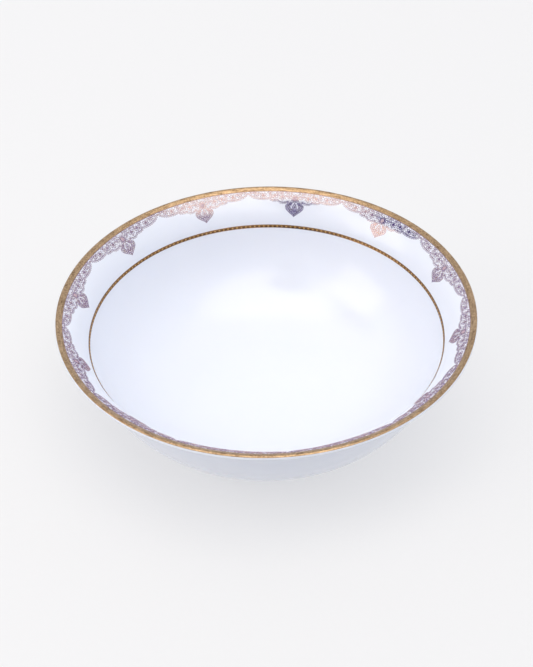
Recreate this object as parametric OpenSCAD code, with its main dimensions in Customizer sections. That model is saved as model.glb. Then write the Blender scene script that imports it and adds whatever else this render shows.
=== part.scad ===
// Porcelain serving bowl with a flared, gilded rim. It stands on its foot ring, the axis is Z, and
// the origin is the centre of the circle that the foot stands on.
// The china's section is one closed row of stations, from the middle of the floor inside, over the
// lip and back to the middle underneath. Every coat lies on the one below it, station by station.

/* [Bowl] */
// Diameter over the glazed rim
rim_d = 230; // [200:1:276]
// Height from the table to the top of the rim
bowl_h = 70; // [58:1:84]
// Diameter of the flat floor inside
floor_d = 90; // [74:1:108]
// Slope of the side where the well's curve meets the steep wall, in degrees
knee_slope = 55; // [48:1:58]

/* [China] */
// Thickness of the china in the floor
floor_t = 4.0; // [3:0.1:6]
// Thickness of the china in the wall
wall_t = 3.4; // [2.4:0.1:4.5]
// Thickness of the china at the lip
lip_t = 2.2; // [1.6:0.1:3]

/* [Flare] */
// Radius of the curve that turns the rim outwards
flare_r = 29; // [24:0.5:35]
// Slope of the rim just inside the lip, in degrees
lip_slope = 25; // [18:1:30]
// Slope of the side at the inner gold line, where the flare begins, in degrees
shoulder_slope = 71; // [66:1:76]

/* [Foot ring] */
// Outer diameter of the foot ring
foot_d = 98; // [80:1:118]
// Width of the foot ring under the floor
foot_w = 5; // [4:0.1:6]
// Height of the foot ring, from the table to the china's underside
foot_h = 5; // [4:0.1:8]
// Radius of the foot ring's rounded standing edge
foot_round = 1.2; // [0.8:0.1:1.6]
// Slant of the foot ring's two sides from upright, in degrees
foot_slant = 6; // [0:1:8]

/* [Coats] */
// Thickness of the glaze
glaze_t = 0.25; // [0.15:0.01:0.4]
// Thickness of the fired gold
gold_t = 0.2; // [0.15:0.01:0.3]
// Thickness of the lace transfers
lace_t = 0.14; // [0.1:0.01:0.2]
// Thickness of the rose enamel
enamel_t = 0.2; // [0.1:0.01:0.4]
// Height above the table at which the glaze is wiped off the foot ring
wiped_h = 1.6; // [1.6:0.1:3]

/* [Gilding] */
// Width of the rim gold down the inside, from the end of the lip's round
gold_inside = 2.2; // [1:0.1:4]
// Angle from level at which the rim gold ends on the outer side of the lip's round
gold_end = 40; // [34:1:70]
// Width of the gold line inside the shoulder
line_w = 1.9; // [1.2:0.1:3]
// Diameter of a bead on the gold line
bead_d = 1.1; // [0.8:0.05:1.2]
// Height of a bead above the gold line
bead_h = 0.15; // [0.1:0.01:0.3]
// Beads on the gold line over one repeat of the border
beads_per_repeat = 19; // [12:1:22]

/* [Lace border] */
// Azimuth of the first pendant, in degrees
first_pendant = 20; // [0:1:29]
// Depth of the white gap between two repeats, below the rim gold
gap_rise = 0.7; // [0.3:0.1:2]
// Length of the pendants, from the rim gold to the tip
pendant_len = 15; // [12:0.5:18]
// Height of the pendant's own leaf, from its shoulder to its tip
leaf_len = 7.4; // [5:0.1:9]
// Width of the pendant's leaf
leaf_w = 11.4; // [8:0.1:13]
// Diameter of the rose enamel dot over each pendant
rose_d = 2; // [1:0.1:3]
// Distance of the rose dot below the rim gold
rose_drop = 4.2; // [3:0.1:6]

/* [Hidden] */

$fn = 180;
repeats = 12;
repeat_a = 360 / repeats;
coat = glaze_t + gold_t; // what the glaze and the gold add to the china

china_colour = [0.97, 0.96, 0.93];
glaze_colour = [0.93, 0.94, 0.97];
gold_colour = [0.78, 0.60, 0.33];
bead_colour = [0.86, 0.68, 0.38];
lace_colour = [0.62, 0.54, 0.63];
rose_colour = [0.62, 0.36, 0.40];

// Steps along each stretch of the section
knee_n = 18;
wall_n = 6;
flare_n = 18;
lip_n = 12;

function mix(a, b, f) = a + (b - a) * f;
// Unit normal of the inner surface where its slope is a: it points up and towards the axis
function up(a) = [-sin(a), cos(a)];
function arc(c, r, a0, a1, n) = [for (i = [0:n]) c + r * [cos(mix(a0, a1, i / n)), sin(mix(a0, a1, i / n))]];
function reversed(list) = [for (i = [len(list) - 1:-1:0]) list[i]];

// The lip's round, then the flare below it, down to the shoulder
lip_c = [rim_d / 2 - glaze_t - lip_t / 2, bowl_h - coat - lip_t / 2];
flare_c = lip_c + up(lip_slope) * (lip_t / 2 - flare_r);
shoulder = flare_c + up(shoulder_slope) * flare_r;
flare_len = flare_r * (shoulder_slope - lip_slope) * PI / 180;

// The wall's arc and the knee's arc join the shoulder to the edge of the floor with no corner: their
// two radii solve the pair of equations for the width and the height between those points.
floor_r = floor_d / 2;
floor_z = foot_h + floor_t;
run_r = shoulder[0] - floor_r;
run_z = shoulder[1] - floor_z;
wall_dr = sin(shoulder_slope) - sin(knee_slope);
wall_dz = cos(knee_slope) - cos(shoulder_slope);
knee_dr = sin(knee_slope);
knee_dz = 1 - cos(knee_slope);
both = wall_dr * knee_dz - knee_dr * wall_dz;
wall_r = (run_r * knee_dz - knee_dr * run_z) / both;
knee_r = (wall_dr * run_z - wall_dz * run_r) / both;
knee_c = [floor_r, floor_z + knee_r];
wall_c = knee_c + up(knee_slope) * (wall_r - knee_r);
wall_len = wall_r * (shoulder_slope - knee_slope) * PI / 180;

// Stations of the inner surface: point, outward normal, thickness of the china there
floor_station = [[[0, floor_z], up(0), floor_t]];
knee_stations = [for (i = [0:knee_n]) let (f = i / knee_n, a = knee_slope * f)
    [knee_c - up(a) * knee_r, up(a), mix(floor_t, wall_t, f)]];
wall_stations = [for (i = [1:wall_n]) let (a = mix(knee_slope, shoulder_slope, i / wall_n))
    [wall_c - up(a) * wall_r, up(a), wall_t]];
flare_stations = [for (i = [1:flare_n]) let (f = i / flare_n, a = mix(shoulder_slope, lip_slope, f))
    [flare_c + up(a) * flare_r, up(a), mix(wall_t, lip_t, f)]];
inner_stations = concat(floor_station, knee_stations, wall_stations, flare_stations);
lip_stations = [for (i = [1:lip_n - 1]) let (a = 90 + lip_slope - 180 * i / lip_n, n = [cos(a), sin(a)])
    [lip_c + n * lip_t / 2, n, lip_t]];
outer_stations = [for (s = reversed(inner_stations)) [s[0] - s[1] * s[2], -s[1], s[2]]];
stations = concat(inner_stations, lip_stations, outer_stations);

// Places along the row of stations
at_shoulder = knee_n + wall_n + 1;
at_lip_in = at_shoulder + flare_n;
at_lip_out = at_lip_in + lip_n;
// Place at the distance s above the shoulder, measured along the surface
function place(s) = at_shoulder + (s < 0 ? s * wall_n / wall_len : s * flare_n / flare_len);
at_gold_in = at_lip_in - gold_inside * flare_n / flare_len;
at_gold_out = at_lip_in + (90 + lip_slope - gold_end) * lip_n / 180;

// The whole section's outline with a coat t thick over it, one point on it, and a stretch of it
function skin(t) = [for (s = stations) s[0] + s[1] * t];
function at(line, u) = let (i = min(floor(u), len(line) - 2)) mix(line[i], line[i + 1], u - i);
function stretch(line, u0, u1) = concat([at(line, u0)],
    [for (i = [floor(u0) + 1:1:ceil(u1) - 1]) line[i]], [at(line, u1)]);

china_skin = skin(0);
glaze_skin = skin(glaze_t);
gold_skin = skin(coat);
lace_skin = skin(glaze_t + lace_t);
enamel_skin = skin(glaze_t + lace_t + enamel_t);

// Section of a layer between two skins, from place u0 to place u1
module layer(under, over, u0, u1) {
    polygon(concat(stretch(under, u0, u1), reversed(stretch(over, u0, u1))));
}

// The foot ring's sides lean apart upwards. A side with a coat t thick on it stands at the radius
// side_r(side, t) + side * foot_lean * z at the height z: side is 1 outside and -1 inside.
foot_r = foot_d / 2 - foot_w / 2;
foot_lean = tan(foot_slant);
function side_r(side, t) = foot_r + side * (foot_w / 2 - foot_h * foot_lean + t);
function side_point(side, t, z) = [side_r(side, t) + side * foot_lean * z, z];
// Place at which the underside, seen as the outline line, crosses a side of the foot ring
function crossing(line, side, t) = let (
    reach = [for (p = line) p[0] - side * foot_lean * p[1] - side_r(side, t)],
    i = [for (i = [at_lip_out:len(line) - 1]) if (reach[i] < 0) i][0])
    i - 1 + reach[i - 1] / (reach[i - 1] - reach[i]);
function rounding(side, a0) = arc(side_point(side, -foot_round, foot_round), foot_round, a0, a0 + 90, 6);

module bowl_body() {
    color(china_colour) rotate_extrude() polygon(china_skin);
}

module foot_ring() {
    seat = stretch(china_skin, crossing(china_skin, 1, 0), crossing(china_skin, -1, 0));
    color(china_colour) rotate_extrude() polygon(concat(seat, rounding(-1, 180), rounding(1, 270)));
}

// The glaze covers the china inside and out, but for the foot ring's standing edge
module glaze_coat() {
    color(glaze_colour) rotate_extrude() polygon(concat(
        stretch(glaze_skin, 0, crossing(glaze_skin, 1, glaze_t)),
        [side_point(1, glaze_t, wiped_h), side_point(1, 0, wiped_h)],
        reversed(stretch(china_skin, 0, crossing(china_skin, 1, 0)))));
    color(glaze_colour) rotate_extrude() polygon(concat(
        stretch(glaze_skin, crossing(glaze_skin, -1, glaze_t), len(stations) - 1),
        reversed(stretch(china_skin, crossing(china_skin, -1, 0), len(stations) - 1)),
        [side_point(-1, 0, wiped_h), side_point(-1, glaze_t, wiped_h)]));
}

module rim_gilding() {
    color(gold_colour) rotate_extrude() layer(glaze_skin, gold_skin, at_gold_in, at_gold_out);
}

module inner_gold_line() {
    color(gold_colour) rotate_extrude()
        layer(glaze_skin, gold_skin, place(-line_w / 2), place(line_w / 2));
}

// Each bead is a low disc that touches the middle of the gold line
module inner_line_beads() {
    beads = repeats * beads_per_repeat;
    low = at(gold_skin, place(-bead_d / 2));
    high = at(gold_skin, place(bead_d / 2));
    slope = atan2(high[1] - low[1], high[0] - low[0]);
    sagitta = bead_d * bead_d / (8 * low[0]);
    seat = (low + high) / 2 + up(slope) * sagitta;
    color(bead_colour) for (i = [0:beads - 1])
        rotate([0, 0, first_pendant + (i + 0.5) * 360 / beads]) translate([seat[0], 0, seat[1]])
            rotate([0, -slope, 0]) cylinder(d = bead_d, h = bead_h, $fn = 24);
}

// Height of the gold's edge above the shoulder, along the surface
gold_edge = flare_len - gold_inside;
// Point in plan of the glaze at the azimuth a from a pendant and the depth d below the rim gold
function plan(a, d) = at(glaze_skin, place(gold_edge - d))[0] * [cos(a), sin(a)];

// The lace's lower edge hangs in scallops on each side of a pendant, parted by notches. Each is given
// by its azimuth from the pendant and its depth below the rim gold.
scallops = [[4.1, 7.8], [6.6, 6.6], [10.2, 5.6]];
notches = [[2.6, 7], [5.4, 6], [8.3, 5], [repeat_a / 2, gap_rise]];
scallop_n = 6;
// Quarter of an oval from a notch to a scallop's lowest point
function quarter(notch, low) = [for (i = [0:scallop_n]) let (t = 90 * i / scallop_n)
    [low[0] + (notch[0] - low[0]) * cos(t), mix(notch[1], low[1], sin(t))]];
half_edge = [for (i = [0:len(scallops) - 1])
    each concat(quarter(notches[i], scallops[i]), reversed(quarter(notches[i + 1], scallops[i])))];

// The pendant's leaf is an ogee: a drawn-out tip, full sides and a neck under the lace
leaf_wide_d = pendant_len - 0.76 * leaf_len;
leaf_top_d = pendant_len - leaf_len;
leaf_a = leaf_w / 2 / norm(plan(0, leaf_wide_d)) * 180 / PI;
leaf_n = 14;
brow_n = 4;
neck = 0.85; // width of the neck as a share of the leaf's
ogee = [for (i = [1:leaf_n]) let (f = i / leaf_n)
    [leaf_a * pow(sin(90 * f), 1.3), mix(pendant_len, leaf_wide_d, f)]];
brow = [for (i = [1:brow_n]) let (t = 90 * i / brow_n)
    [leaf_a * mix(neck, 1, cos(t)), mix(leaf_wide_d, leaf_top_d, sin(t))]];
half_leaf = concat(ogee, brow, [[leaf_a * neck, rose_drop]]);

function mirrored(half) = [for (p = reversed(half)) [-p[0], p[1]]];
function in_plan(outline) = [for (p = outline) plan(p[0], p[1])];

module lace_outline() {
    past = repeat_a / 2 + 1;
    above = -gold_inside / 2;
    polygon(in_plan(concat([[-past, above], [-past, gap_rise]], mirrored(half_edge), half_edge,
        [[past, gap_rise], [past, above]])));
    polygon(in_plan(concat(mirrored(half_leaf), [[0, pendant_len]], half_leaf)));
}

module lace_transfer(i) {
    color(lace_colour) rotate([0, 0, first_pendant + i * repeat_a]) intersection() {
        rotate([0, 0, -repeat_a / 2]) rotate_extrude(angle = repeat_a)
            layer(glaze_skin, lace_skin, place(gold_edge - pendant_len - 1), at_gold_in);
        linear_extrude(2 * bowl_h) lace_outline();
    }
}

module rose_enamel_dots() {
    centre = plan(0, rose_drop);
    around = 2 * rose_d / norm(centre) * 180 / PI;
    color(rose_colour) for (i = [0:repeats - 1])
        rotate([0, 0, first_pendant + i * repeat_a]) intersection() {
            rotate([0, 0, -around / 2]) rotate_extrude(angle = around)
                layer(lace_skin, enamel_skin, place(gold_edge - rose_drop - rose_d), at_gold_in);
            translate(centre) cylinder(d = rose_d, h = 2 * bowl_h, $fn = 32);
        }
}

bowl_body();
foot_ring();
glaze_coat();
rim_gilding();
inner_gold_line();
inner_line_beads();
lace_transfer(0);  // lace_transfer_01
lace_transfer(1);  // lace_transfer_02
lace_transfer(2);  // lace_transfer_03
lace_transfer(3);  // lace_transfer_04
lace_transfer(4);  // lace_transfer_05
lace_transfer(5);  // lace_transfer_06
lace_transfer(6);  // lace_transfer_07
lace_transfer(7);  // lace_transfer_08
lace_transfer(8);  // lace_transfer_09
lace_transfer(9);  // lace_transfer_10
lace_transfer(10);  // lace_transfer_11
lace_transfer(11);  // lace_transfer_12
rose_enamel_dots();
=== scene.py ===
import math
import random

import bmesh
import bpy
import numpy as np
from mathutils import Matrix, Vector


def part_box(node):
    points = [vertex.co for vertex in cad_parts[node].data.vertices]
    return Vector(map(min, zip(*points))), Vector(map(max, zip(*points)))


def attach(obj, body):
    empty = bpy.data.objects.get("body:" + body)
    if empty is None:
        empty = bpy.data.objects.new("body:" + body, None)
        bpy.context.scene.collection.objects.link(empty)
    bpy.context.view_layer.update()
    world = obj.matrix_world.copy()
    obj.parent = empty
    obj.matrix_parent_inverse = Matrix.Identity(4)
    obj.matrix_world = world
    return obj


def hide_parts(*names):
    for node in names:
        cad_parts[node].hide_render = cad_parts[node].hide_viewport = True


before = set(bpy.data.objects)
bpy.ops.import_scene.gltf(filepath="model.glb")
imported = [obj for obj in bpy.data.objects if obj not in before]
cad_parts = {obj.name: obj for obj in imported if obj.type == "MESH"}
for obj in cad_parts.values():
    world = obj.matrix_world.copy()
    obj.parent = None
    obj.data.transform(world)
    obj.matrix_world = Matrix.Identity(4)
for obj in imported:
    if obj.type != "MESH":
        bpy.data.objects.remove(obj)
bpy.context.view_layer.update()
mm = 0.001
print("frame loaded:", len(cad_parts), "nodes")

# The section of the china, in mm and degrees from level. The rim's size comes from the frame
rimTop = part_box("rim_gilding")[1].z / mm
glazeLow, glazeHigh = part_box("glaze_coat")
rimEdge = min(glazeHigh.x, glazeHigh.y, -glazeLow.x, -glazeLow.y) / mm  # the box's nearest side
china = {
    "floorRadius": 45.0,     # flat part of the floor inside
    "floorThick": 4.0,
    "wallThick": 3.4,
    "lipThick": 2.2,
    "flareRadius": 29.0,     # curve that turns the rim outwards
    "lipSlope": 25.0,        # just inside the lip
    "shoulderSlope": 71.0,   # where the flare begins
    "kneeSlope": 55.0,       # where the well's curve meets the steep wall
    "footRadius": 49.0,      # outside of the foot ring at the floor's underside
    "footWide": 5.0,
    "footHigh": 5.0,
    "footSlant": 6.0,        # of the foot's sides, from upright
    "glaze": 0.25,
    "gold": 0.2,
    "turns": 256,            # steps round the axis
    "floorSteps": 6,         # steps along the section, from the middle to the lip's round
    "kneeSteps": 34,
    "wallSteps": 10,
    "flareSteps": 32,
    "lipSteps": 18,
}


def upFrom(slope):  # the inner surface's unit normal at a slope, as radius and height
    angle = math.radians(slope)
    return np.array([-math.sin(angle), math.cos(angle)])


def mix(a, b, share):
    return a + (b - a) * share


def spread(first, last, steps):  # equal steps from first to last, both kept
    return [mix(first, last, i / steps) for i in range(steps + 1)]


coat = china["glaze"] + china["gold"]
lipRadius = china["lipThick"] / 2
lipCentre = np.array([rimEdge - china["glaze"] - lipRadius, rimTop - coat - lipRadius])
flareCentre = lipCentre + upFrom(china["lipSlope"]) * (lipRadius - china["flareRadius"])
shoulder = flareCentre + upFrom(china["shoulderSlope"]) * china["flareRadius"]
floorEdge = np.array([china["floorRadius"], china["footHigh"] + china["floorThick"]])
# The wall's and the knee's arcs run from the floor's edge to the shoulder with no corner
wallTurn = upFrom(china["kneeSlope"]) - upFrom(china["shoulderSlope"])
kneeTurn = upFrom(0) - upFrom(china["kneeSlope"])
wallRadius, kneeRadius = np.linalg.solve(np.column_stack([wallTurn, kneeTurn]), shoulder - floorEdge)
kneeCentre = floorEdge + upFrom(0) * kneeRadius
wallCentre = kneeCentre + upFrom(china["kneeSlope"]) * (wallRadius - kneeRadius)

# Distances along the inner surface, from the shoulder: up the flare is positive
flareEnd = china["flareRadius"] * math.radians(china["shoulderSlope"] - china["lipSlope"])
wallEnd = -wallRadius * math.radians(china["shoulderSlope"] - china["kneeSlope"])
kneeEnd = wallEnd - kneeRadius * math.radians(china["kneeSlope"])
middle = kneeEnd - china["floorRadius"]


def station(s):  # point, normal and thickness of the china at a distance along its inner surface
    if s >= 0:
        normal = upFrom(china["shoulderSlope"] - math.degrees(s / china["flareRadius"]))
        thick = mix(china["wallThick"], china["lipThick"], s / flareEnd)
        return flareCentre + normal * china["flareRadius"], normal, thick
    if s >= wallEnd:
        normal = upFrom(china["shoulderSlope"] + math.degrees(s / wallRadius))
        return wallCentre - normal * wallRadius, normal, china["wallThick"]
    if s >= kneeEnd:
        normal = upFrom(math.degrees((s - kneeEnd) / kneeRadius))
        thick = mix(china["floorThick"], china["wallThick"], (s - kneeEnd) / (wallEnd - kneeEnd))
        return kneeCentre - normal * kneeRadius, normal, thick
    return floorEdge + np.array([s - kneeEnd, 0]), upFrom(0), china["floorThick"]


def inside(s, over):  # the inner surface with a coat over it
    point, normal = station(s)[:2]
    return point + normal * over


def outside(s, over):  # the outer surface with a coat over it
    point, normal, thick = station(s)
    return point - normal * (thick + over)


def overLip(share, over):  # from the end of the inside, 0, to the end of the outside, 1
    angle = math.radians(90 + china["lipSlope"] - 180 * share)
    return lipCentre + np.array([math.cos(angle), math.sin(angle)]) * (lipRadius + over)


footLean = math.tan(math.radians(china["footSlant"]))
footMiddle = china["footRadius"] - china["footWide"] / 2


def footSide(side, over, z):  # side is 1 outside and -1 inside
    foot = footMiddle + side * (china["footWide"] / 2 + over + (z - china["footHigh"]) * footLean)
    return np.array([foot, z])


def footMeets(side, over, sideOver):  # where the underside meets a side of the foot ring
    low, high = kneeEnd - china["floorRadius"] / 2, wallEnd
    for halving in range(40):
        s = (low + high) / 2
        point = outside(s, over)
        if point[0] < footSide(side, sideOver, point[1])[0]:
            low = s
        else:
            high = s
    return high


def makePiece(name, bm, sharpAngle=40):  # an object from a bmesh, smooth but for its sharp edges
    mesh = bpy.data.meshes.new(name)
    bm.to_mesh(mesh)
    bm.free()
    for face in mesh.polygons:
        face.use_smooth = True
    mesh.set_sharp_from_angle(angle=math.radians(sharpAngle))
    piece = bpy.data.objects.new(name, mesh)
    bpy.context.scene.collection.objects.link(piece)
    return piece


# An open outline starts and ends on the axis. rounded gives the reach of the round at some of its corners
def revolve(name, outline, closed=True, rounded=None):
    bm = bmesh.new()
    row = [bm.verts.new((r * mm, 0, z * mm)) for r, z in outline]
    ends = row[1:] + row[:1] if closed else row[1:]
    for a, b in zip(row, ends):
        bm.edges.new((a, b))
    for index, reach in (rounded or {}).items():
        bmesh.ops.bevel(bm, geom=[row[index]], offset=reach * mm, offset_type="OFFSET", segments=5,
                        profile=0.5, affect="VERTICES", material=-1, clamp_overlap=True)
    bmesh.ops.spin(bm, geom=bm.verts[:] + bm.edges[:], cent=(0, 0, 0), axis=(0, 0, 1), dvec=(0, 0, 0),
                   angle=math.tau, steps=china["turns"], use_merge=True)
    bmesh.ops.remove_doubles(bm, verts=bm.verts[:], dist=0.002 * mm)
    bmesh.ops.recalc_face_normals(bm, faces=bm.faces[:])
    return makePiece(name, bm)


def settle(piece, material, nodes):  # finish, body and the CAD nodes that the piece stands for
    piece.data.materials.clear()
    piece.data.materials.append(material)
    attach(piece, "root")
    if nodes:
        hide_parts(*nodes)
    return piece


def onBowl(point, normal, azimuth):  # matrix that stands a small shape on the surface, in metres
    turn = math.radians(azimuth)
    out = Vector((math.cos(turn), math.sin(turn), 0))
    along = Vector((-math.sin(turn), math.cos(turn), 0))
    face = out * normal[0] + Vector((0, 0, normal[1]))
    place = out * point[0] * mm + Vector((0, 0, point[1] * mm))
    axes = Matrix((along, face.cross(along), face)).transposed()
    return Matrix.Translation(place) @ axes.to_4x4()


def linear(colour):  # an sRGB hex colour, as linear values
    parts = [int(colour[i:i + 2], 16) / 255 for i in (1, 3, 5)]
    return tuple(p / 12.92 if p <= 0.04045 else ((p + 0.055) / 1.055) ** 2.4 for p in parts) + (1.0,)


def addNode(tree, kind, inputs=None, **settings):  # an input is a value, or a socket to link from
    node = tree.nodes.new(kind)
    for key, value in settings.items():
        setattr(node, key, value)
    for key, value in (inputs or {}).items():
        if isinstance(value, bpy.types.NodeSocket):
            tree.links.new(value, node.inputs[key])
        else:
            node.inputs[key].default_value = value
    return node


def newMaterial(name, values):  # a plain surface with its uniform values, and where on the piece it is
    material = bpy.data.materials.new(name)
    material.use_nodes = True
    tree = material.node_tree
    tree.nodes.clear()
    shader = addNode(tree, "ShaderNodeBsdfPrincipled", values)
    addNode(tree, "ShaderNodeOutputMaterial", {"Surface": shader.outputs["BSDF"]})
    where = addNode(tree, "ShaderNodeTexCoord").outputs["Object"]
    return material, tree, shader, where


def perMm(size):  # scale of a pattern whose grain is so many mm
    return 1 / (size * mm)


def clearGlazeOnBoneChina():
    # White bone china under a clear lead-free glaze fired to a gloss: a cool white that lets a little
    # light in, with a mirror-like skin that is very faintly uneven
    material, tree, shader, where = newMaterial("clearGlazeOnBoneChina", {
        "IOR": 1.52, "Subsurface Weight": 0.12, "Subsurface Radius": (1.0, 0.7, 0.5),
        "Subsurface Scale": 1.5 * mm})
    cloud = addNode(tree, "ShaderNodeTexNoise", {"Vector": where, "Scale": perMm(45), "Detail": 2.0})
    tint = addNode(tree, "ShaderNodeMix", {0: cloud.outputs["Fac"], 6: linear("#e5e8f1"),
                                           7: linear("#e2e5ef")}, data_type="RGBA")
    tree.links.new(tint.outputs[2], shader.inputs["Base Color"])
    sheen = addNode(tree, "ShaderNodeMapRange", {"Value": cloud.outputs["Fac"], "To Min": 0.13,
                                                 "To Max": 0.18})
    tree.links.new(sheen.outputs["Result"], shader.inputs["Roughness"])
    peel = addNode(tree, "ShaderNodeTexNoise", {"Vector": where, "Scale": perMm(9), "Detail": 1.0})
    bump = addNode(tree, "ShaderNodeBump", {"Height": peel.outputs["Fac"], "Strength": 0.1,
                                            "Distance": 0.03 * mm})
    tree.links.new(bump.outputs["Normal"], shader.inputs["Normal"])
    return material


def boneChinaBiscuit():
    # The body fired without glaze: matt, warm and finely gritty, smoothed where it stands
    material, tree, shader, where = newMaterial("boneChinaBiscuit", {
        "Roughness": 0.75, "IOR": 1.5, "Subsurface Weight": 0.1, "Subsurface Scale": 1.0 * mm})
    grit = addNode(tree, "ShaderNodeTexNoise", {"Vector": where, "Scale": perMm(0.4), "Detail": 3.0})
    tint = addNode(tree, "ShaderNodeMix", {0: grit.outputs["Fac"], 6: linear("#f1ede3"),
                                           7: linear("#dcd6c8")}, data_type="RGBA")
    tree.links.new(tint.outputs[2], shader.inputs["Base Color"])
    bump = addNode(tree, "ShaderNodeBump", {"Height": grit.outputs["Fac"], "Strength": 0.4,
                                            "Distance": 0.05 * mm})
    tree.links.new(bump.outputs["Normal"], shader.inputs["Normal"])
    return material


def gilding(name, light, dark, roughness, grain, depth):  # grain and depth of its tooth in mm
    # Liquid gold brushed on and fired at 800 degrees, then burnished: a soft metal shine with the
    # brush's drag and a fine tooth, both drawn coarser than real ones so that they show
    material, tree, shader, where = newMaterial(name, {"Metallic": 1.0})
    axes = addNode(tree, "ShaderNodeSeparateXYZ", {"Vector": where})
    turn = addNode(tree, "ShaderNodeMath", {0: axes.outputs["Y"], 1: axes.outputs["X"]},
                   operation="ARCTAN2")
    drag = addNode(tree, "ShaderNodeCombineXYZ", {"X": turn.outputs["Value"], "Z": axes.outputs["Z"]})
    streak = addNode(tree, "ShaderNodeMapping", {"Vector": drag.outputs["Vector"],
                                                 "Scale": (20.0, 1.0, perMm(0.5))})
    brush = addNode(tree, "ShaderNodeTexNoise", {"Vector": streak.outputs["Vector"], "Scale": 1.0,
                                                 "Detail": 3.0})
    tooth = addNode(tree, "ShaderNodeTexNoise", {"Vector": where, "Scale": perMm(grain), "Detail": 4.0})
    both = addNode(tree, "ShaderNodeMix", {0: 0.6, 2: brush.outputs["Fac"], 3: tooth.outputs["Fac"]})
    evened = addNode(tree, "ShaderNodeMapRange", {"Value": both.outputs[0], "From Min": 0.35,
                                                  "From Max": 0.65})
    tint = addNode(tree, "ShaderNodeMix", {0: evened.outputs["Result"], 6: linear(dark),
                                           7: linear(light)}, data_type="RGBA")
    tree.links.new(tint.outputs[2], shader.inputs["Base Color"])
    rough = addNode(tree, "ShaderNodeMapRange", {"Value": evened.outputs["Result"],
                                                 "To Min": roughness * 1.25, "To Max": roughness * 0.8})
    tree.links.new(rough.outputs["Result"], shader.inputs["Roughness"])
    bump = addNode(tree, "ShaderNodeBump", {"Height": both.outputs[0], "Strength": 0.5,
                                            "Distance": depth * mm})
    tree.links.new(bump.outputs["Normal"], shader.inputs["Normal"])
    return material


def mauveLustre():
    # A screen-printed lustre transfer, fired on: dark violet ink under a thin coppery film, so it is
    # plum by itself, mauve where it mirrors the pale room and peach where it mirrors a bright panel
    material, tree, shader, where = newMaterial("mauveLustre", {
        "IOR": 3.65, "Specular Tint": linear("#ffdcba")})
    grain = addNode(tree, "ShaderNodeTexNoise", {"Vector": where, "Scale": perMm(1.6), "Detail": 4.0})
    ink = addNode(tree, "ShaderNodeMapRange", {"Value": grain.outputs["Fac"], "From Min": 0.35,
                                               "From Max": 0.65})
    tint = addNode(tree, "ShaderNodeMix", {0: ink.outputs["Result"], 6: linear("#463680"),
                                           7: linear("#5d4d8a")}, data_type="RGBA")
    tree.links.new(tint.outputs[2], shader.inputs["Base Color"])
    rough = addNode(tree, "ShaderNodeMapRange", {"Value": ink.outputs["Result"], "To Min": 0.12,
                                                 "To Max": 0.07})
    tree.links.new(rough.outputs["Result"], shader.inputs["Roughness"])
    return material


def roseEnamel():
    # Soft enamel laid on thick and fired last: a glossy rose glass, deeper at the middle
    material, tree, shader, where = newMaterial("roseEnamel", {
        "Roughness": 0.12, "IOR": 1.55, "Coat Weight": 0.6, "Coat Roughness": 0.05})
    cloud = addNode(tree, "ShaderNodeTexNoise", {"Vector": where, "Scale": perMm(0.8), "Detail": 2.0})
    tint = addNode(tree, "ShaderNodeMix", {0: cloud.outputs["Fac"], 6: linear("#a78d99"),
                                           7: linear("#bba2ad")}, data_type="RGBA")
    tree.links.new(tint.outputs[2], shader.inputs["Base Color"])
    return material


def opalAcrylic():
    # A matt opal acrylic table lit softly from below, so that shadows on it stay faint
    material, tree, shader, where = newMaterial("opalAcrylic", {
        "Roughness": 0.9, "Specular IOR Level": 0.1, "Emission Color": linear("#fcfcfe"),
        "Emission Strength": 0.52})
    tooth = addNode(tree, "ShaderNodeTexNoise", {"Vector": where, "Scale": perMm(3), "Detail": 2.0})
    tint = addNode(tree, "ShaderNodeMix", {0: tooth.outputs["Fac"], 6: linear("#989898"),
                                           7: linear("#9a9a9a")}, data_type="RGBA")
    tree.links.new(tint.outputs[2], shader.inputs["Base Color"])
    return material


biscuit = boneChinaBiscuit()
glazeFinish = clearGlazeOnBoneChina()

innerRun = (spread(middle, kneeEnd, china["floorSteps"])[:-1]
            + spread(kneeEnd, wallEnd, china["kneeSteps"])[:-1]
            + spread(wallEnd, 0, china["wallSteps"])[:-1]
            + spread(0, flareEnd, china["flareSteps"]))
lipRun = spread(0, 1, china["lipSteps"])[1:-1]


def section(over, last):  # the china's outline with a coat over it, from the middle to a place underneath
    outerRun = [s for s in reversed(innerRun) if s > last] + [last]
    return ([inside(s, over) for s in innerRun] + [overLip(t, over) for t in lipRun]
            + [outside(s, over) for s in outerRun])


body = revolve("bowlBody", section(0, middle), closed=False)
settle(body, biscuit, ["bowl_body"])

footRing = {
    "standingRound": 1.2,  # radius of its two lower edges
    "roundSteps": 8,
    "seatSteps": 6,
}
seat = spread(footMeets(1, 0, 0), footMeets(-1, 0, 0), footRing["seatSteps"])
outline = [outside(s, 0) for s in seat]
for side, start in ((-1, 180), (1, 270)):
    centre = footSide(side, -footRing["standingRound"], footRing["standingRound"])
    for angle in spread(start, start + 90, footRing["roundSteps"]):
        turn = math.radians(angle)
        outline.append(centre + footRing["standingRound"] * np.array([math.cos(turn), math.sin(turn)]))
foot = revolve("footRing", outline)
settle(foot, biscuit, ["foot_ring"])
print("china and foot ring turned")

glazeCoat = {
    "wiped": 1.6,      # mm above the table where the glaze ends
    "pool": 1.0,       # reach of the glaze that gathers in the corner of the foot
    "roll": 0.12,      # rounding of the glaze's wiped edge
    "recessSteps": 12,
}
glazeThick = china["glaze"]
meet, meetUnder = footMeets(1, glazeThick, glazeThick), footMeets(1, 0, 0)
outerSkin = section(glazeThick, meet)
corner = len(outerSkin) - 1
edge = [footSide(1, glazeThick, glazeCoat["wiped"]), footSide(1, 0, glazeCoat["wiped"])]
outline = outerSkin + edge + section(0, meetUnder)[::-1]
glaze = revolve("glazeCoat", outline, closed=False,
                rounded={corner: glazeCoat["pool"], corner + 1: glazeCoat["roll"]})
settle(glaze, glazeFinish, ["glaze_coat"])

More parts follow.
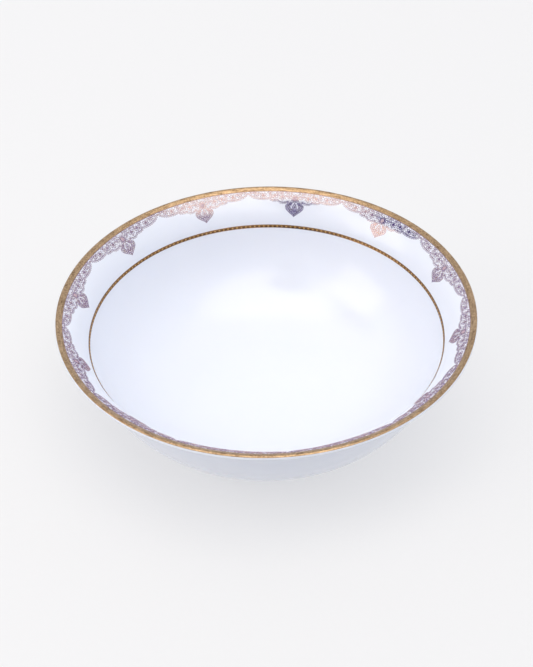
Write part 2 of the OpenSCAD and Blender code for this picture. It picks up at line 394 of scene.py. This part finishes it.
recessRun = spread(footMeets(-1, glazeThick, glazeThick), middle, glazeCoat["recessSteps"])
recessUnder = spread(footMeets(-1, 0, 0), middle, glazeCoat["recessSteps"])
outline = ([outside(s, glazeThick) for s in recessRun][::-1]
           + [footSide(-1, glazeThick, glazeCoat["wiped"]), footSide(-1, 0, glazeCoat["wiped"])]
           + [outside(s, 0) for s in recessUnder])
corner = len(recessRun) - 1
recess = revolve("recessGlaze", outline, closed=False,
                 rounded={corner: glazeCoat["pool"], corner + 1: glazeCoat["roll"]})
settle(recess, glazeFinish, [])
print("glazed")

rimGold = {
    "inside": 2.2,     # mm of gold down the inside, from the end of the lip's round
    "end": 40.0,       # where it ends on the lip's outer side, in degrees from level
    "taper": 0.25,     # how far the brushed edge thins out
    "sunk": 0.02,      # how far the gold has fused into the glaze
    "steps": 12,       # down the inside
    "lipSteps": 10,
    "light": "#d0b08b",
    "dark": "#775e43",
}
goldEdge = flareEnd - rimGold["inside"]
goldShare = (90 + china["lipSlope"] - rimGold["end"]) / 180
goldRun = spread(goldEdge, flareEnd, rimGold["steps"])
goldLip = spread(0, goldShare, rimGold["lipSteps"])[1:]
sunk = glazeThick - rimGold["sunk"]
goldUnder = [inside(s, sunk) for s in goldRun] + [overLip(t, sunk) for t in goldLip]
fullEdge = goldEdge + rimGold["taper"]
fullRun = [fullEdge] + [s for s in goldRun if s > fullEdge]
goldOver = [inside(s, coat) for s in fullRun] + [overLip(t, coat) for t in goldLip[:-1]]
rim = revolve("rimGilding", goldUnder + goldOver[::-1])
brushedGold = gilding("mattRimGold", rimGold["light"], rimGold["dark"], roughness=0.35, grain=0.8,
                      depth=0.08)
settle(rim, brushedGold, ["rim_gilding"])
print("rim gilded")

goldLine = {
    "wide": 1.9,
    "ridge": 0.3,        # width of the raised cord along each edge
    "groove": 0.09,      # how much lower the line is between the two cords
    "cornerIn": 0.06,    # how far the cords' outer corners are cut back, across the line
    "cornerLow": 0.04,   # and down from the crest
    "light": "#a27b50",
    "dark": "#6e4e38",
    "beads": 228,
    "firstAzimuth": 20.0,
    "beadWide": 1.2,
    "beadHigh": 0.3,     # above the groove
    "beadSkirt": 0.02,   # kept under the ball's middle, before it is flattened
    "beadLight": "#cba774",
    "beadDark": "#a5824f",
}
half, ridge = goldLine["wide"] / 2, goldLine["ridge"]
low = coat - goldLine["groove"]
cornerAt, cornerUp = half - goldLine["cornerIn"], coat - goldLine["cornerLow"]
cut = [(-half, glazeThick), (half, glazeThick), (cornerAt, cornerUp), (half - ridge / 2, coat),
       (half - ridge, low), (ridge - half, low), (ridge / 2 - half, coat), (-cornerAt, cornerUp)]
line = revolve("innerGoldLine", [inside(s, t) for s, t in cut])
lineGold = gilding("mattLineGold", goldLine["light"], goldLine["dark"], roughness=0.25, grain=0.35,
                   depth=0.04)
settle(line, lineGold, ["inner_gold_line"])

bead = bmesh.new()
beadHalf = goldLine["beadWide"] / 2
bmesh.ops.create_uvsphere(bead, u_segments=10, v_segments=6, radius=beadHalf * mm)
bmesh.ops.bisect_plane(bead, geom=bead.verts[:] + bead.edges[:] + bead.faces[:], dist=1e-7,
                       plane_co=(0, 0, -goldLine["beadSkirt"] * mm), plane_no=(0, 0, -1), clear_outer=True)
bmesh.ops.holes_fill(bead, edges=[e for e in bead.edges if e.is_boundary], sides=0)
bmesh.ops.scale(bead, vec=(1, 1, goldLine["beadHigh"] / beadHalf), verts=bead.verts[:])
beadMesh = bpy.data.meshes.new("oneBead")
bead.to_mesh(beadMesh)
bead.free()
beadRow = bmesh.new()
point, normal = station(0)[:2]
for i in range(goldLine["beads"]):
    start = len(beadRow.verts)
    beadRow.from_mesh(beadMesh)
    beadRow.verts.ensure_lookup_table()
    azimuth = goldLine["firstAzimuth"] + (i + 0.5) * 360 / goldLine["beads"]
    place = onBowl(point + normal * low, normal, azimuth)
    bmesh.ops.transform(beadRow, matrix=place, verts=beadRow.verts[start:])
bpy.data.meshes.remove(beadMesh)
beads = makePiece("innerLineBeads", beadRow, sharpAngle=70)
beadGold = gilding("satinBeadGold", goldLine["beadLight"], goldLine["beadDark"], roughness=0.3,
                   grain=0.5, depth=0.02)
settle(beads, beadGold, ["inner_line_beads"])
print("inner line and beads laid")

lace = {
    "repeats": 12,
    "firstAzimuth": 20.0,
    "flatRadius": 107.0,          # the lace is drawn flat, at its true width at this radius
    # Each scallop's lowest place and each notch between them, as degrees across and mm below the gold
    "scallops": [(4.1, 7.8), (6.6, 6.6), (10.2, 5.6)],
    "notches": [(2.6, 7.0), (5.4, 6.0), (8.3, 5.0)],
    "gapDepth": 0.7,              # depth of the lace between two repeats
    "pendant": 15.0,              # depth of the pendant's tip
    "leafLong": 7.4,              # the leaf is the part that hangs below the scallops
    "leafWide": 11.4,
    "leafWidest": 0.76,           # share of its length, from the tip
    "leafTopWide": 0.85,          # share of its width that its top end has
    "leafPoint": 1.3,             # more hollows the sides near the tip
    "tipRoom": 1.0,               # mm at the tip that the net and the curls stay out of
    "film": 0.06,                 # height of a cord of no width over the glaze
    "build": 0.12,                # how much higher a cord is for each mm of its width
    "uneven": 0.008,              # how far a cord's height may be off
    "sunk": 0.02,                 # how far a cord has fused into the glaze
    "crown": 0.8,                 # share of a cord's width that is flat on top
    "thinning": 0.45,             # share of its width that a scroll loses to its end
    "winding": 0.82,              # share of its radius that a scroll loses to its end
    "swell": 0.8,                 # less moves a petal's widest place towards its root
    "step": 0.5,                  # mm between points of a cord
    "ringStep": 0.4,
    "fineCord": 0.26,             # cord widths, drawn coarser than real ones so that they show
    "seed": 12,                   # of the curls' small differences
}
perDegree = lace["flatRadius"] * math.pi / 180
scallops = [(across * perDegree, lowest) for across, lowest in lace["scallops"]]
notches = [(across * perDegree, highest) for across, highest in lace["notches"]]
halfRepeat = 180 / lace["repeats"] * perDegree
notches.append((halfRepeat, lace["gapDepth"]))
leafWidest = lace["pendant"] - lace["leafWidest"] * lace["leafLong"]
leafTop = lace["pendant"] - lace["leafLong"]


def edgeDepth(x):  # depth of the lace's scalloped lower edge, across from the pendant's middle
    x = abs(x)
    for i, (middleX, lowest) in enumerate(scallops):
        left, right = notches[i], notches[i + 1]
        if x <= right[0]:
            near = left if x < middleX else right
            share = (x - middleX) / (near[0] - middleX)
            return mix(near[1], lowest, math.sqrt(max(0, 1 - share * share))) if x > left[0] else left[1]
    return lace["gapDepth"]


def leafHalf(y):  # half the width of the pendant's leaf at a depth
    if y >= leafWidest:
        share = (lace["pendant"] - y) / (lace["pendant"] - leafWidest)
        return lace["leafWide"] / 2 * math.sin(math.pi / 2 * max(0, share)) ** lace["leafPoint"]
    share = min(1, (leafWidest - y) / (leafWidest - leafTop))
    return lace["leafWide"] / 2 * mix(lace["leafTopWide"], 1, math.sqrt(1 - share * share))


def inLace(x, y, room):  # whether a point is in the lace, that much inside its edge
    inLeaf = y < lace["pendant"] - lace["tipRoom"] and abs(x) < leafHalf(y) - room
    return inLeaf or y < edgeDepth(x) - room


cords = []   # each is a list of points, a width, whether it thins out and a height
motifs = []  # circles that the small curls stay out of
dice = random.Random(lace["seed"])


def lay(points, width, mirrored=True, taper=False):  # a cord, and its twin across the middle
    height = lace["film"] + lace["build"] * width
    uneven = lace["uneven"]
    cords.append((points, width, taper, height + dice.uniform(-uneven, uneven)))
    if mirrored:
        opposite = [(-x, y) for x, y in points]
        cords.append((opposite, width, taper, height + dice.uniform(-uneven, uneven)))


def curl(x, y, radius, start, turns, width, steps=11):  # a scroll that winds in from its outside
    points = []
    for share in spread(0, 1, steps):
        angle = math.radians(start) + turns * math.tau * share
        reach = radius * (1 - lace["winding"] * share)
        points.append((x + reach * math.cos(angle), y + reach * math.sin(angle)))
    lay(points, width, taper=True)


def petal(x, y, angle, length, wide, width, mirrored=True):  # a pointed leaf that starts at x, y
    turn = math.radians(angle)
    steps = max(5, int(length / lace["step"]))
    for side in (-1, 1):
        points = []
        for share in spread(0, 1, steps):
            swell = side * wide / 2 * math.sin(math.pi * share ** lace["swell"])
            points.append((x + length * share * math.sin(turn) + swell * math.cos(turn),
                           y + length * share * math.cos(turn) - swell * math.sin(turn)))
        lay(points, width, mirrored)


def ring(x, y, radius, width, mirrored=True):
    steps = max(8, int(math.tau * radius / lace["ringStep"]))
    lay([(x + radius * math.cos(a), y + radius * math.sin(a)) for a in spread(0, math.tau, steps)],
        width, mirrored)


def evenly(points, pitch):  # points at equal steps along a line
    line = np.array(points)
    run = np.concatenate([[0], np.cumsum(np.hypot(*np.diff(line, axis=0).T))])
    at = np.linspace(0, run[-1], max(2, round(run[-1] / pitch)) + 1)
    return list(zip(np.interp(at, run, line[:, 0]), np.interp(at, run, line[:, 1])))


# The scalloped edge is a row of loops on a cord, and a plain cord lies under the gold
edging = {
    "loop": 0.46,                 # radius
    "pitch": 1.32,
    "loopRise": 0.6,              # of the loops' middles over the lace's edge
    "loopDepth": 0.5,             # least depth of a loop's middle
    "cordRise": 1.25,             # of the cord over the lace's edge
    "cordFrom": 1.6,              # least depth of the lace where the cord runs
    "apart": 0.3,                 # from the next repeat
    "topDepth": 0.02,             # of the plain cord
}
edgeXs = spread(notches[0][0], halfRepeat - edging["apart"], 120)
for x, y in evenly([(x, edgeDepth(x) - edging["loopRise"]) for x in edgeXs], edging["pitch"]):
    if y > edging["loopDepth"]:
        ring(x, y, edging["loop"], lace["fineCord"])
cordXs = [x for x in edgeXs if edgeDepth(x) > edging["cordFrom"]]
lay(evenly([(x, edgeDepth(x) - edging["cordRise"]) for x in cordXs], lace["step"]), lace["fineCord"])
lay([(x, edging["topDepth"]) for x in spread(0, halfRepeat, 40)], lace["fineCord"])

# An open palmette in each scallop
palmette = {
    "share": 0.4,                 # of the scallop's depth, where its petals meet
    "ring": 0.5,                  # radius
    "ringRise": 0.6,
    "petals": (-104, -52, 0, 52, 104),
    "petalLong": 2.6,
    "shorter": 0.005,             # mm for each degree that a petal leans
    "petalWide": 1.15,
    "room": 1.9,                  # radius that the curls stay out of
    "roomDrop": 0.4,              # of that circle's middle below the petals' meeting
}
for x, lowest in scallops:
    y = lowest * palmette["share"]
    ring(x, y - palmette["ringRise"], palmette["ring"], lace["fineCord"])
    for angle in palmette["petals"]:
        length = palmette["petalLong"] - palmette["shorter"] * abs(angle)
        petal(x, y, angle, length, palmette["petalWide"], lace["fineCord"])
    motifs.append((x, y + palmette["roomDrop"], palmette["room"]))

# A ring and a wreath of leaves round the rose dot
wreath = {
    "depth": 4.2,                 # of the dot's middle below the gold
    "ring": 1.3,                  # radius
    "ringCord": 0.36,
    "leaves": 12,
    "leafFrom": 1.45,             # from the dot's middle
    "leafLong": 1.4,
    "leafWide": 0.8,
    "room": 2.5,                  # radius that the curls stay out of
}
ring(0, wreath["depth"], wreath["ring"], wreath["ringCord"], mirrored=False)
lastLeaf = wreath["leaves"] - 1
for angle in spread(0, 360 * lastLeaf / wreath["leaves"], lastLeaf):
    turn = math.radians(angle)
    x, y = wreath["leafFrom"] * math.sin(turn), wreath["depth"] + wreath["leafFrom"] * math.cos(turn)
    petal(x, y, angle, wreath["leafLong"], wreath["leafWide"], lace["fineCord"], mirrored=False)
motifs.append((0, wreath["depth"], wreath["room"]))

# The pendant: two rows of rings that follow its outline, round a drop
leaf = {
    "cord": 0.44,
    "edgeIn": 0.15,               # of the cord along the outline
    "stem": 1.6,                  # straight cord up from the tip
    "insets": (0.95, 2.5),        # of the two rows from the outline
    "lift": 0.1,                  # of a row, as a share of its inset
    "ends": 0.75,                 # least distance of a row from the middle
    "ring": 0.56,                 # radius
    "pitch": 1.5,
    "dropDepth": 11.9,            # of the drop's lower end
    "drops": ((4.6, 2.5), (3.2, 1.0)),  # length and width of the drop and of the one inside it
}
leafYs = spread(lace["pendant"], leafTop, 60)
leafEdge = [(max(0, leafHalf(y) - leaf["edgeIn"]), y) for y in leafYs]
lay(evenly(leafEdge, lace["step"]), lace["fineCord"])
lay([(0, lace["pendant"]), (0, lace["pendant"] - leaf["stem"])], leaf["cord"], mirrored=False)
for inset in leaf["insets"]:
    course = [(leafHalf(y) - inset, y - leaf["lift"] * inset) for y in leafYs
              if leafHalf(y) > inset + leaf["ends"]]
    for x, y in evenly(course, leaf["pitch"]):
        ring(x, y, leaf["ring"], leaf["cord"])
for length, wide in leaf["drops"]:
    petal(0, leaf["dropDepth"], 180, length, wide, leaf["cord"], mirrored=False)

# A scroll over each upper corner of the pendant, then small curls fill the rest, each wound its own way
curls = {
    "cord": 0.34,
    "corner": {"x": 4.35, "y": 6.25, "radius": 0.8, "start": 150, "turns": 1.3},
    "cornerRoom": 0.9,            # radius that the small curls stay out of
    "radius": 0.84,
    "pitch": 1.72,
    "rowPitch": 0.87,             # as a share of the pitch
    "rows": 11,
    "inRow": 20,
    "first": (0.6, 0.95),         # place of the first row's first curl
    "stray": 0.12,                # how far a curl may be from its place in the rows
    "turns": (-1.4, -1.2, 1.2, 1.4),
    "room": 1.75,                 # from the lace's edge
    "middleRoom": 0.7,            # from the line through the pendant
    "apart": 0.3,                 # from the motifs
}
curl(**curls["corner"], width=curls["cord"])
motifs.append((curls["corner"]["x"], curls["corner"]["y"], curls["cornerRoom"]))
stray = curls["stray"]
firstX, firstY = curls["first"]
for row in range(curls["rows"]):
    for i in range(curls["inRow"]):
        x = curls["pitch"] * (i + 0.5 * (row % 2)) + dice.uniform(-stray, stray) + firstX
        y = firstY + curls["pitch"] * curls["rowPitch"] * row + dice.uniform(-stray, stray)
        start, turns = dice.uniform(0, 360), dice.choice(curls["turns"])
        clear = all(math.hypot(x - a, y - b) > reach + curls["apart"] for a, b, reach in motifs)
        if x > curls["middleRoom"] and y < leafTop and clear and inLace(x, y, curls["room"]):
            curl(x, y, curls["radius"], start, turns, curls["cord"])

# A net of fine cords in both diagonals, cut off a little inside the lace's edge
net = {
    "cord": 0.1,
    "pitch": 1.72,
    "lines": 34,                  # to each side of the middle one
    "top": 0.1,
    "bottom": 14.1,
    "steps": 40,
    "room": 0.8,                  # from the lace's edge
    "leafRoom": 1.0,              # the same at the pendant
    "leafFrom": 6.0,              # depth where the pendant's room begins
}
for lean in (-1, 1):
    for i in range(-net["lines"], net["lines"] + 1):
        run = []
        for y in spread(net["top"], net["bottom"], net["steps"]):
            x = i * net["pitch"] + lean * y
            room = net["leafRoom"] if y > net["leafFrom"] else net["room"]
            if abs(x) < halfRepeat and inLace(x, y, room):
                run.append((x, y))
                continue
            if len(run) > 1:
                lay(run[:-1:2] + run[-1:], net["cord"], mirrored=False)
            run = []
        if len(run) > 1:
            lay(run[:-1:2] + run[-1:], net["cord"], mirrored=False)


def ribbon(bm, points, width, taper, height):  # a flat cord with sloping sides, in mm
    line = np.array(points)
    heading = np.gradient(line, axis=0)
    heading /= np.linalg.norm(heading, axis=1)[:, None]
    rows = []
    for i, ((x, y), (u, v)) in enumerate(zip(line, heading)):
        half = width / 2 * (1 - lace["thinning"] * i / len(line) if taper else 1)
        crown, foot = half * lace["crown"], -lace["sunk"]
        sides = ((half, foot), (crown, height), (-crown, height), (-half, foot))
        rows.append([bm.verts.new((x - v * side, y + u * side, up)) for side, up in sides])
    for a, b in zip(rows, rows[1:]):
        for j in range(4):
            k = (j + 1) % 4
            bm.faces.new((a[j], a[k], b[k], b[j]))
    bm.faces.new(rows[0][::-1])
    bm.faces.new(rows[-1])


flatLace = bmesh.new()
for points, width, taper, height in cords:
    ribbon(flatLace, points, width, taper, height)
bmesh.ops.recalc_face_normals(flatLace, faces=flatLace.faces[:])
flat = np.array([v.co[:] for v in flatLace.verts])
print("lace drawn:", len(cords), "cords,", len(flatLace.faces), "faces a repeat")


def wrap(points, azimuth):  # from mm across, mm below the gold and height, to the bowl's surface
    turn = np.radians(azimuth) + points[:, 0] / lace["flatRadius"]
    slope = np.radians(china["shoulderSlope"]) - (goldEdge - points[:, 1]) / china["flareRadius"]
    reach = china["flareRadius"] + glazeThick + points[:, 2]
    radius = flareCentre[0] - reach * np.sin(slope)
    height = flareCentre[1] + reach * np.cos(slope)
    return np.column_stack([radius * np.cos(turn), radius * np.sin(turn), height]) * mm


lustre = mauveLustre()
for i in range(lace["repeats"]):
    bm = flatLace.copy()
    for vertex, place in zip(bm.verts, wrap(flat, lace["firstAzimuth"] + i * 360 / lace["repeats"])):
        vertex.co = place
    piece = makePiece(f"laceTransfer{i + 1:02d}", bm, sharpAngle=60)
    settle(piece, lustre, [f"lace_transfer_{i + 1:02d}"])
flatLace.free()
print("lace transfers laid")

rose = {
    "wide": 2.0,
    "long": 2.5,
    "high": 0.28,
}
drops = bmesh.new()
point, normal = station(goldEdge - wreath["depth"])[:2]
for i in range(lace["repeats"]):
    azimuth = lace["firstAzimuth"] + i * 360 / lace["repeats"]
    place = onBowl(point + normal * glazeThick, normal, azimuth)
    made = bmesh.ops.create_uvsphere(drops, u_segments=24, v_segments=12, radius=1.0)
    shape = Matrix.Diagonal((rose["wide"] / 2 * mm, rose["long"] / 2 * mm, rose["high"] * mm, 1))
    bmesh.ops.transform(drops, matrix=place @ shape, verts=made["verts"])
bmesh.ops.recalc_face_normals(drops, faces=drops.faces[:])
settle(makePiece("roseEnamelDots", drops), roseEnamel(), ["rose_enamel_dots"])
print("rose dots set")

tableTop = {
    "half": 4.0,   # metres
}
top = bmesh.new()
bmesh.ops.create_grid(top, x_segments=8, y_segments=8, size=tableTop["half"])
table = makePiece("floor", top)
table.data.materials.append(opalAcrylic())

studio = {
    "horizon": "#3a3c48",
    "sky": "#f0f5ff",
    "strength": 1.0,
    "pastTable": "#f4f4f4",         # what the camera sees beyond the table
    "brighter": (0.0, 0.38, 1.0),   # the way in which the room brightens
    "darkest": -0.2,                # as distances that way
    "brightest": 0.25,
}
# Two ceiling panels, the one on the camera's side bright, and three dark cloths, all for the lustre and the
# glaze to mirror. Each is a direction, half its width and half the width of its soft edge in degrees, a
# colour and a strength
panels = [
    {"toward": (0.0, 0.05, 1.0), "reach": 31, "soft": 6, "colour": "#fffcf8", "strength": 1.0},
    {"toward": (0.0, -0.342, 0.94), "reach": 31, "soft": 8, "colour": "#fffbf6", "strength": 2.65},
    {"toward": (-0.241, -0.567, 0.788), "reach": 12, "soft": 2, "colour": "#141428", "strength": 1.0},
    {"toward": (-0.273, -0.793, 0.545), "reach": 9, "soft": 2, "colour": "#141428", "strength": 1.0},
    {"toward": (-0.633, 0.112, 0.766), "reach": 10, "soft": 2, "colour": "#141428", "strength": 1.0},
]
world = bpy.data.worlds.new("studio")
bpy.context.scene.world = world
world.use_nodes = True
tree = world.node_tree
tree.nodes.clear()
direction = addNode(tree, "ShaderNodeTexCoord").outputs["Generated"]
# The room is darker behind the camera and near the floor
height = addNode(tree, "ShaderNodeVectorMath", {0: direction, 1: studio["brighter"]},
                 operation="DOT_PRODUCT")
height = addNode(tree, "ShaderNodeMapRange", {
    "Value": height.outputs["Value"],
    "From Min": studio["darkest"],
    "From Max": studio["brightest"]})
dome = addNode(tree, "ShaderNodeMix", {0: height.outputs["Result"], 6: linear(studio["horizon"]),
                                       7: linear(studio["sky"])}, data_type="RGBA").outputs[2]
for panel in panels:
    toward = addNode(tree, "ShaderNodeVectorMath", {0: direction, 1: Vector(panel["toward"]).normalized()},
                     operation="DOT_PRODUCT")
    edge = addNode(tree, "ShaderNodeMapRange", {
        "Value": toward.outputs["Value"],
        "From Min": math.cos(math.radians(panel["reach"] + panel["soft"])),
        "From Max": math.cos(math.radians(panel["reach"] - panel["soft"]))},
        interpolation_type="SMOOTHSTEP")
    colour = [part * panel["strength"] for part in linear(panel["colour"])]
    dome = addNode(tree, "ShaderNodeMix", {0: edge.outputs["Result"], 6: dome, 7: colour},
                   data_type="RGBA").outputs[2]
seen = addNode(tree, "ShaderNodeLightPath").outputs["Is Camera Ray"]
shown = addNode(tree, "ShaderNodeMix", {0: seen, 6: dome, 7: linear(studio["pastTable"])},
                data_type="RGBA")
glow = addNode(tree, "ShaderNodeBackground", {"Color": shown.outputs[2], "Strength": studio["strength"]})
addNode(tree, "ShaderNodeOutputWorld", {"Surface": glow.outputs["Background"]})

fill = {
    "place": (-1.31, -0.4, 0.88),   # metres; it faces the bowl
    "size": 1.0,
    "power": 6.0,                   # watts
    "colour": "#fff3e6",
}
softbox = bpy.data.lights.new("fill", "AREA")
softbox.shape = "SQUARE"
softbox.size = fill["size"]
softbox.energy = fill["power"]
softbox.color = linear(fill["colour"])[:3]
lamp = bpy.data.objects.new("fill", softbox)
lamp.location = fill["place"]
lamp.rotation_euler = Vector(fill["place"]).to_track_quat("Z", "Y").to_euler()
bpy.context.scene.collection.objects.link(lamp)

view = {
    "lens": 86.4,          # mm
    "elevation": 40.65,    # degrees
    "distance": 0.874,     # metres from the middle of the rim's plane
    "drop": 0.0139,        # the camera sits this much lower, which lifts the bowl in the frame
    "roll": 1.06,          # degrees
}
camera = bpy.data.cameras.new("camera")
camera.lens = view["lens"]
camera.sensor_width = 36
camera.clip_start = 0.01
eye = bpy.data.objects.new("camera", camera)
bpy.context.scene.collection.objects.link(eye)
tilt, roll = math.radians(view["elevation"]), math.radians(view["roll"])
backward = Vector((0, -math.cos(tilt), math.sin(tilt)))
upward = Vector((0, math.sin(tilt), math.cos(tilt)))
sideways = Vector((1, 0, 0))
rolledSide = sideways * math.cos(roll) - upward * math.sin(roll)
rolledUp = sideways * math.sin(roll) + upward * math.cos(roll)
place = Vector((0, 0, rimTop * mm)) + backward * view["distance"] - upward * view["drop"]
turned = Matrix((rolledSide, rolledUp, backward)).transposed().to_4x4()
eye.matrix_world = Matrix.Translation(place) @ turned
bpy.context.scene.camera = eye
bpy.context.scene.view_settings.view_transform = "Standard"
print("lit and framed")
